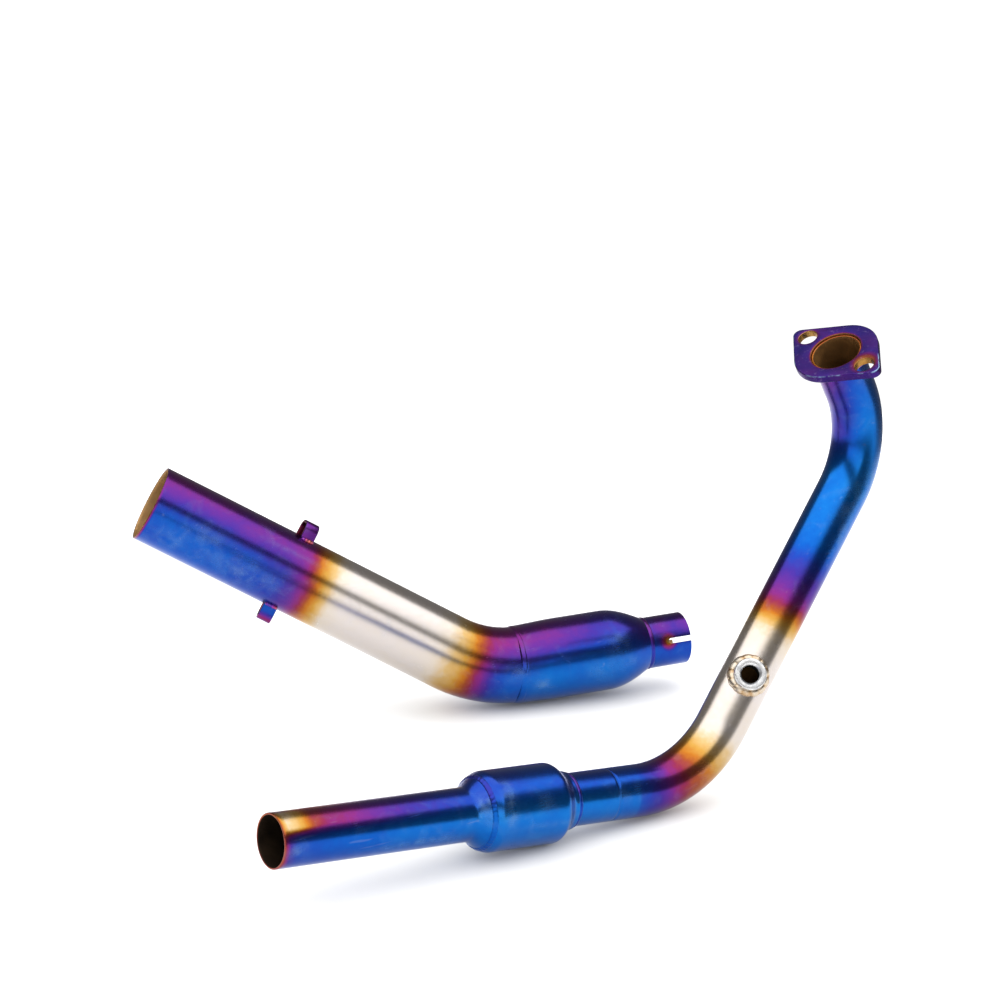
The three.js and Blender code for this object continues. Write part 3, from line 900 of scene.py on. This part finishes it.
def flange_outline(count=32):
    """The line drawn tight round the plate's discs, as points with their outward normals."""
    points = []
    for i, disc in enumerate(FLANGE_DISCS):
        start = tangent_normal(FLANGE_DISCS[i - 1], disc)
        sweep = (tangent_normal(disc, FLANGE_DISCS[(i + 1) % len(FLANGE_DISCS)]) - start) % TAU
        x, y, radius = disc
        for j in range(count + 1):
            angle = start + sweep * j / count
            normal = (math.cos(angle), math.sin(angle))
            points.append((x + radius * normal[0], y + radius * normal[1], *normal))
    return points


def hole_outline(x, radius, count=48):
    """A hole's rim; its normals point into the hole, away from the metal."""
    points = []
    for i in range(count):
        angle = TAU * i / count
        normal = (math.cos(angle), math.sin(angle))
        points.append((x + radius * normal[0], radius * normal[1], -normal[0], -normal[1]))
    return points


def flange_steps():
    """Pairs of (inset from the outline, height), down the edge from the top face to the bottom one."""
    corner = []
    for k in range(5):
        angle = math.pi / 2 * k / 4
        corner.append((FLANGE_EDGE * (1 - math.sin(angle)), -FLANGE_EDGE * (1 - math.cos(angle))))
    bottom = [(inset, -FLANGE_THICKNESS - height) for inset, height in reversed(corner)]
    return corner + [(0.0, -FLANGE_THICKNESS / 2)] + bottom


def flange_mesh():
    """The plate in its own millimetres, with each point's place, edge wear and bare metal."""
    half = STUD_PITCH / 2
    # Each outline with how bare the metal is down its wall.
    loops = [
        (flange_outline(), 0.0),
        (hole_outline(0, PIPE_R + 0.1, 72), 0.55),
        (hole_outline(half, STUD_HOLE_R), 1.0),
        (hole_outline(-half, STUD_HOLE_R), 1.0),
    ]
    steps = flange_steps()
    last = len(steps) - 1
    mesh = bmesh.new()
    values = {"plate": [], "edge": [], "bare": []}
    caps = {0: [], last: []}
    for outline, bare in loops:
        rings = []
        for index, (inset, height) in enumerate(steps):
            ring = []
            for x, y, nx, ny in outline:
                local = (x - nx * inset, y - ny * inset, height)
                ring.append(mesh.verts.new(local))
                values["plate"].append(local)
                values["edge"].append(1.0 if 1 <= index <= 3 and not bare else 0.0)
                values["bare"].append(bare if 2 <= index <= last - 2 else 0.0)
            rings.append(ring)
        count = len(outline)
        for upper, lower in zip(rings, rings[1:]):
            for j in range(count):
                beside = (j + 1) % count
                mesh.faces.new((upper[j], lower[j], lower[beside], upper[beside]))
        for index, edges in caps.items():
            ring = rings[index]
            edges += [mesh.edges.get((ring[j], ring[(j + 1) % count])) for j in range(count)]
    for edges in caps.values():
        bmesh.ops.triangle_fill(mesh, use_beauty=True, edges=edges)
    bmesh.ops.recalc_face_normals(mesh, faces=mesh.faces)
    data = bpy.data.meshes.new("flange_plate")
    mesh.verts.index_update()
    mesh.to_mesh(data)
    mesh.free()
    add_values(data, values)
    return data


def build_flange():
    point, tangent, up, _ = header.frame_at(header.length)
    x_axis = Matrix.Rotation(FLANGE_TURN, 3, tangent) @ up
    y_axis = tangent.cross(x_axis)
    place = Matrix((x_axis * MM, y_axis * MM, tangent * MM)).transposed().to_4x4()
    place.translation = point * MM
    data = flange_mesh()
    data.materials.append(FLANGE_STEEL)
    data.transform(place)
    piece = smooth_object("flange_plate", data)
    sharpen(piece, 40)
    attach(piece, "header")
    finished("head_flange")


def build_flange_weld():
    back = header.length - FLANGE_THICKNESS
    line = [(back + past, PIPE_R + height, hidden) for past, height, hidden in reversed(FLANGE_WELD)]
    weld = swept("flange_weld", header, line, "header", [WELD_VIOLET], ring_tint(0.55),
                 ripple=dimes(count=32, height=0.35), sides=2 * SIDES)
    finished("head_flange_weld")


# ---- Link pipe ----


def build_chamber():
    outer = cone(CONE_START, CONE_END) + level(CONE_END, TAPER_START, CHAMBER_R)[1:]
    outer += shoulder(TAPER_START, CHAMBER_END, CHAMBER_R, CHAMBER_MOUTH_R)[1:]
    outline = wall_outline(outer, CHAMBER_WALL)
    piece = swept("chamber_skin", link, outline, "link_pipe", [STEEL, LINK_INSIDE], link_tint)
    finished("link_chamber")


def build_link_tube():
    def inner_seam(distance, turn, radius):
        inside = radius <= LINK_TUBE_R - LINK_WALL + 0.05
        return -INNER_SEAM_DEPTH if inside and away(turn, INNER_SEAM_TURN) < INNER_SEAM_HALF_TURN else 0.0

    outline = wall_outline(level(LINK_TUBE_START, link.length, LINK_TUBE_R), LINK_WALL, lip=0.3)
    piece = swept("link_tube_skin", link, outline, "link_pipe", [STEEL, LINK_INSIDE], link_tint,
                  sides=120, ripple=inner_seam)
    finished("link_tube")


def build_link_rings():
    middle = (COLLAR_END + CONE_START) / 2
    line = bead_outline(middle, width=2.9, radius=CONE_NECK_R - 0.4, height=0.45)
    collar = swept("collar_weld", link, line, "link_pipe", [RING_STEEL], cooler(link_tint, drop=0.1),
                   ripple=dimes(count=36, height=0.07), sides=2 * SIDES)
    finished("slip_collar_weld")
    line = [(CHAMBER_END + past, radius, hidden) for past, radius, hidden in CHAMBER_WELD]
    chamber = swept("chamber_weld", link, line, "link_pipe", [STEEL], link_tint,
                    ripple=dimes(count=60, height=0.04), sides=2 * SIDES)
    finished("link_chamber_weld")


def collar_rows():
    """Distances along the collar, closer together round each slot's blind end."""
    bend = SLOT_LENGTH - SLOT_WIDTH / 2
    rows = [0.0] + spread(0.3, bend, FINE_STEP) + spread(bend, SLOT_LENGTH, 0.3)
    return sorted(set(rows + spread(SLOT_LENGTH, COLLAR_END, FINE_STEP)))


def half_slot(distance):
    """Half a slot's width at a distance: level, then a round blind end."""
    if distance >= SLOT_LENGTH:
        return 0.0
    rise = SLOT_WIDTH / 2
    past = max(distance - (SLOT_LENGTH - rise), 0)
    return math.sqrt(max(rise ** 2 - past ** 2, 0))


def build_collar():
    """The slotted collar, made as two half shells that share their edges past the slots."""
    point, tangent, up, side = link.frame_at(0)
    rows = collar_rows()
    columns = 48
    mesh = bmesh.new()
    heat = mesh.verts.layers.float.new("tint")
    smudge_and_highlight = mesh.verts.layers.float.new("smudge_and_highlight")

    def vertex(distance, turn, radius):
        lip = 0.3 if distance == 0.0 else 0.0
        grown = radius - lip if radius == COLLAR_R else radius + lip
        outward_way = up * math.cos(turn) + side * math.sin(turn)
        made = mesh.verts.new((point + tangent * distance + outward_way * grown) * MM)
        made[heat], made[smudge_and_highlight] = link_tint(distance, turn)
        return made

    def shell(start, radius):
        grid = []
        for distance in rows:
            gap = math.asin(half_slot(distance) / radius)
            turns = [start + gap + (math.pi - 2 * gap) * j / columns for j in range(columns + 1)]
            grid.append([vertex(distance, turn, radius) for turn in turns])
        return grid

    for start in (SLOT_TURN, SLOT_TURN + math.pi):
        outer = shell(start, COLLAR_R)
        inner = shell(start, COLLAR_BORE_R)
        for i in range(len(rows) - 1):
            for j in range(columns):
                mesh.faces.new((outer[i][j], outer[i][j + 1], outer[i + 1][j + 1], outer[i + 1][j]))
                face = mesh.faces.new((inner[i][j], inner[i + 1][j], inner[i + 1][j + 1], inner[i][j + 1]))
                face.material_index = 1
            if rows[i] < SLOT_LENGTH:
                mesh.faces.new((outer[i][0], outer[i + 1][0], inner[i + 1][0], inner[i][0]))
                mesh.faces.new((outer[i][-1], inner[i][-1], inner[i + 1][-1], outer[i + 1][-1]))
        for j in range(columns):
            mesh.faces.new((outer[0][j], inner[0][j], inner[0][j + 1], outer[0][j + 1]))
            mesh.faces.new((outer[-1][j], outer[-1][j + 1], inner[-1][j + 1], inner[-1][j]))
    bmesh.ops.remove_doubles(mesh, verts=mesh.verts, dist=1e-6)
    bmesh.ops.recalc_face_normals(mesh, faces=mesh.faces)
    data = bpy.data.meshes.new("slip_collar_skin")
    mesh.to_mesh(data)
    mesh.free()
    data.materials.append(STEEL)
    data.materials.append(LINK_INSIDE)
    piece = smooth_object("slip_collar_skin", data)
    sharpen(piece, 35)
    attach(piece, "link_pipe")
    finished("slip_collar")


def hook_frame(turn):
    """The tube's axis at the hooks, the way out of it, and the ways across and along a hook."""
    point, tangent, up, _ = link.frame_at(HOOK_STATION)
    out = Matrix.Rotation(turn, 3, tangent) @ up
    across = tangent.cross(out)
    spin = Matrix.Rotation(HOOK_SKEW, 3, out)
    return point, out, spin @ across, spin @ tangent


def arch(inset):
    """The loop's line seen along the tube, from one foot to the other: (height, across) pairs."""
    half = HOOK_SPAN / 2 - inset
    top = LINK_TUBE_R + HOOK_RISE - inset
    bend = half * 0.75
    foot = math.sqrt((LINK_TUBE_R + 0.15) ** 2 - half ** 2)
    step = 0.4
    line = [(height, -half) for height in spread(foot, top - bend, step)]
    corner = 14
    for i in range(1, corner + 1):
        angle = -math.pi / 2 + math.pi / 2 * i / corner
        line.append((top - bend + bend * math.cos(angle), -half + bend + bend * math.sin(angle)))
    for i in range(1, corner + 1):
        angle = math.pi / 2 * i / corner
        line.append((top - bend + bend * math.cos(angle), half - bend + bend * math.sin(angle)))
    return line + [(height, half) for height in spread(top - bend, foot, step)][1:]


def strip_section():
    """The strip's rounded section, as (through its thickness, along its width) pairs."""
    thick = STRIP / 2 - STRIP_EDGE
    half = HOOK_LENGTH / 2 - STRIP_EDGE
    section = []
    for sx, sz, start in ((1, 1, 0), (-1, 1, 90), (-1, -1, 180), (1, -1, 270)):
        for i in range(4):
            angle = math.radians(start + 30 * i)
            across = sx * thick + STRIP_EDGE * math.cos(angle)
            section.append((across, sz * half + STRIP_EDGE * math.sin(angle)))
    return section


def build_hook(place, turn):
    """Bent strip with softly rounded edges, tinted in bands along its length."""
    point, out, across, along = hook_frame(turn)
    outer_tint, dip = HOOK_TINTS[place]
    line = arch(STRIP / 2)
    last = len(line) - 1
    section = strip_section()
    rows = []
    heat = []
    for index, (height, width) in enumerate(line):
        before = line[max(index - 1, 0)]
        after = line[min(index + 1, last)]
        slope = Vector((after[0] - before[0], after[1] - before[1])).normalized()
        normal = (slope[1], -slope[0])
        band = math.exp(-((index / last - 0.62) / 0.1) ** 2)
        for thickness, length in section:
            lift = out * (height + normal[0] * thickness)
            aside = across * (width + normal[1] * thickness)
            rows.append(point + (lift + aside + along * length))
            heat.append(outer_tint - band * dip if thickness > 0 else HOOK_INNER_TINT)
    faces = lidded_tube_faces(len(line), len(section))
    values = {"tint": heat, "smudge_and_highlight": [0] * len(rows)}
    piece = mesh_object(f"hook_{place}_strip", rows, faces, "link_pipe", [HOOK_STEEL], values)
    outward(piece)
    finished(f"spring_hook_{place}")


def build_hook_weld(place, turn, side, letter):
    """A short run of weld in four overlapping drops along the outside of a hook's leg."""
    point, out, across, along = hook_frame(turn)
    radius = 1.75
    reach = HOOK_SPAN / 2 + 1.5
    base = math.sqrt(LINK_TUBE_R ** 2 - reach ** 2)
    length = HOOK_LENGTH / 2 - 0.2
    steps = 40
    sides = 20
    rows = []
    heat = []
    for i in range(steps + 1):
        share = -1 + 2 * i / steps
        end = math.sqrt(max(1 - abs(share) ** 5, 0.0004))
        drop = 0.8 + 0.26 * abs(math.sin(2 * math.pi * share + 0.5)) ** 0.6
        size = radius * end * drop
        for j in range(sides):
            angle = TAU * j / sides
            lift = out * (base + 0.2 + size * 0.85 * math.sin(angle))
            aside = across * side * (reach - 0.5 + size * 1.15 * math.cos(angle))
            rows.append(point + (lift + aside) + along * (length * share))
            heat.append(0.42 + 0.3 * math.sin(2.2 * share + side))
    faces = lidded_tube_faces(steps + 1, sides)
    name = f"hook_{place}_weld_{letter}"
    piece = mesh_object(name, rows, faces, "link_pipe", [WELD_VIOLET], {"tint": heat})
    outward(piece)
    finished(f"spring_hook_{place}_weld_{letter}")


build_outlet()
build_resonator()
build_neck()
build_header_tube()
build_header_rings()
build_bung()
build_bung_weld()
build_flange()
build_flange_weld()
build_collar()
build_chamber()
build_link_tube()
build_link_rings()
for hook_place, hook_turn in HOOK_TURNS.items():
    build_hook(hook_place, hook_turn)
    build_hook_weld(hook_place, hook_turn, -1, "a")
    build_hook_weld(hook_place, hook_turn, 1, "b")


# ---- Floor, light and camera ----


CAMERA_AZIMUTH = math.radians(-34.207)
CAMERA_ELEVATION = math.radians(15.062)
BACK = Vector((
    math.sin(CAMERA_AZIMUTH) * math.cos(CAMERA_ELEVATION),
    -math.cos(CAMERA_AZIMUTH) * math.cos(CAMERA_ELEVATION),
    math.sin(CAMERA_ELEVATION),
))
TOWARDS = Vector((BACK.x, BACK.y, 0)).normalized()
RIGHT = Vector((-TOWARDS.y, TOWARDS.x, 0))
CAMERA_PLACE = (-1.00364, -1.52804, 0.65848)
SENSOR_WIDTH = 36
LENS_SHARE = 3.0122
FLOOR_HALF = 0.85
FLOOR_DROP = 0.0004
FLOOR_LIGHT = 9.5
BACKDROP = 1.1
ROOM = 0.2
ROOM_WHITE = (1, 0.97, 0.94, 1)
# The overhead softbox reaches from near (towards the camera) to far.
OVERHEAD_NEAR = 1.9
OVERHEAD_FAR = -0.8
OVERHEAD_HEIGHT = 1.6
OVERHEAD_RADIANCE = 1.9
SOFTBOX_WIDTH = 3.6
FRONT_DISTANCE = 2.4
FRONT_HEIGHT = 0.5
FRONT_RADIANCE = 1.5


def build_floor():
    mesh = bpy.data.meshes.new("studio_floor")
    signs = [(-1, -1), (1, -1), (1, 1), (-1, 1)]
    mesh.from_pydata([(x * FLOOR_HALF, y * FLOOR_HALF, 0) for x, y in signs], [], [(0, 1, 2, 3)])
    made = Nodes("studio_white")
    mesh.materials.append(made.material)
    grain = made.span(made.noise(40, 2), 0, 1, 0.49, 0.51)
    white = made.node("ShaderNodeCombineColor")
    for channel in range(3):
        made.link(grain, white.inputs[channel])
    made.finish(white.outputs[0], 0.0, 0.9)
    made.shader.inputs["Specular IOR Level"].default_value = 0.0
    floor = add_object("studio_floor", mesh)
    floor.location.z = -FLOOR_DROP
    floor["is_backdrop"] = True


def softbox(name, height, radiance):
    """An area light of a stated radiance, which the camera doesn't see."""
    light = bpy.data.lights.new(name, "AREA")
    light.shape = "RECTANGLE"
    light.size = SOFTBOX_WIDTH
    light.size_y = height
    light.energy = radiance * SOFTBOX_WIDTH * height * math.pi
    made = add_object(name, light)
    made.visible_camera = False
    return made


def overhead_softbox():
    """Level over the object, facing down."""
    made = softbox("overhead_softbox", OVERHEAD_NEAR - OVERHEAD_FAR, OVERHEAD_RADIANCE)
    place = TOWARDS * ((OVERHEAD_NEAR + OVERHEAD_FAR) / 2)
    made.location = (place.x, place.y, OVERHEAD_HEIGHT)
    made.rotation_euler = (0, 0, math.atan2(RIGHT.y, RIGHT.x))
    return made


def front_softbox():
    """Upright on the camera's side, facing the object."""
    made = softbox("front_softbox", 1.0, FRONT_RADIANCE)
    low = TOWARDS * FRONT_DISTANCE
    made.location = (low.x, low.y, FRONT_HEIGHT)
    made.rotation_euler = (-low).to_track_quat("-Z", "Y").to_euler()
    return made


def floor_light():
    """An even, very soft light from above, for the floor alone, so that the floor stays evenly white."""
    light = bpy.data.lights.new("floor_light", "SUN")
    light.energy = FLOOR_LIGHT
    light.angle = math.radians(170)
    return add_object("floor_light", light)


def light_only(light, name, objects):
    """Restricts a light to some objects."""
    group = bpy.data.collections.new(name)
    for made in objects:
        group.objects.link(made)
    light.light_linking.receiver_collection = group


def build_lights():
    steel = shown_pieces()
    for box in (overhead_softbox(), front_softbox()):
        light_only(box, f"lit_by_{box.name}", steel)
    light_only(floor_light(), "lit_by_floor_light", [bpy.data.objects["studio_floor"]])


def build_world():
    """White to the camera, dim grey to everything the steel reflects."""
    world = bpy.data.worlds.new("studio")
    bpy.context.scene.world = world
    world.use_nodes = True
    tree = world.node_tree
    tree.nodes.clear()
    room, seen = [tree.nodes.new("ShaderNodeBackground") for _ in range(2)]
    for shade, colour, strength in ((room, ROOM_WHITE, ROOM), (seen, (1, 1, 1, 1), BACKDROP)):
        shade.inputs["Color"].default_value = colour
        shade.inputs["Strength"].default_value = strength
    path = tree.nodes.new("ShaderNodeLightPath")
    mix = tree.nodes.new("ShaderNodeMixShader")
    out = tree.nodes.new("ShaderNodeOutputWorld")
    tree.links.new(path.outputs["Is Camera Ray"], mix.inputs[0])
    tree.links.new(room.outputs[0], mix.inputs[1])
    tree.links.new(seen.outputs[0], mix.inputs[2])
    tree.links.new(mix.outputs[0], out.inputs["Surface"])


def build_camera():
    data = bpy.data.cameras.new("camera")
    data.sensor_width = SENSOR_WIDTH
    data.lens = SENSOR_WIDTH * LENS_SHARE
    data.clip_start = 0.05
    data.clip_end = 40
    made = add_object("camera", data)
    made.location = CAMERA_PLACE
    made.rotation_euler = (-BACK).to_track_quat("-Z", "Y").to_euler()
    bpy.context.scene.camera = made


build_floor()
build_lights()
build_world()
build_camera()
bpy.context.scene.view_settings.view_transform = "Standard"
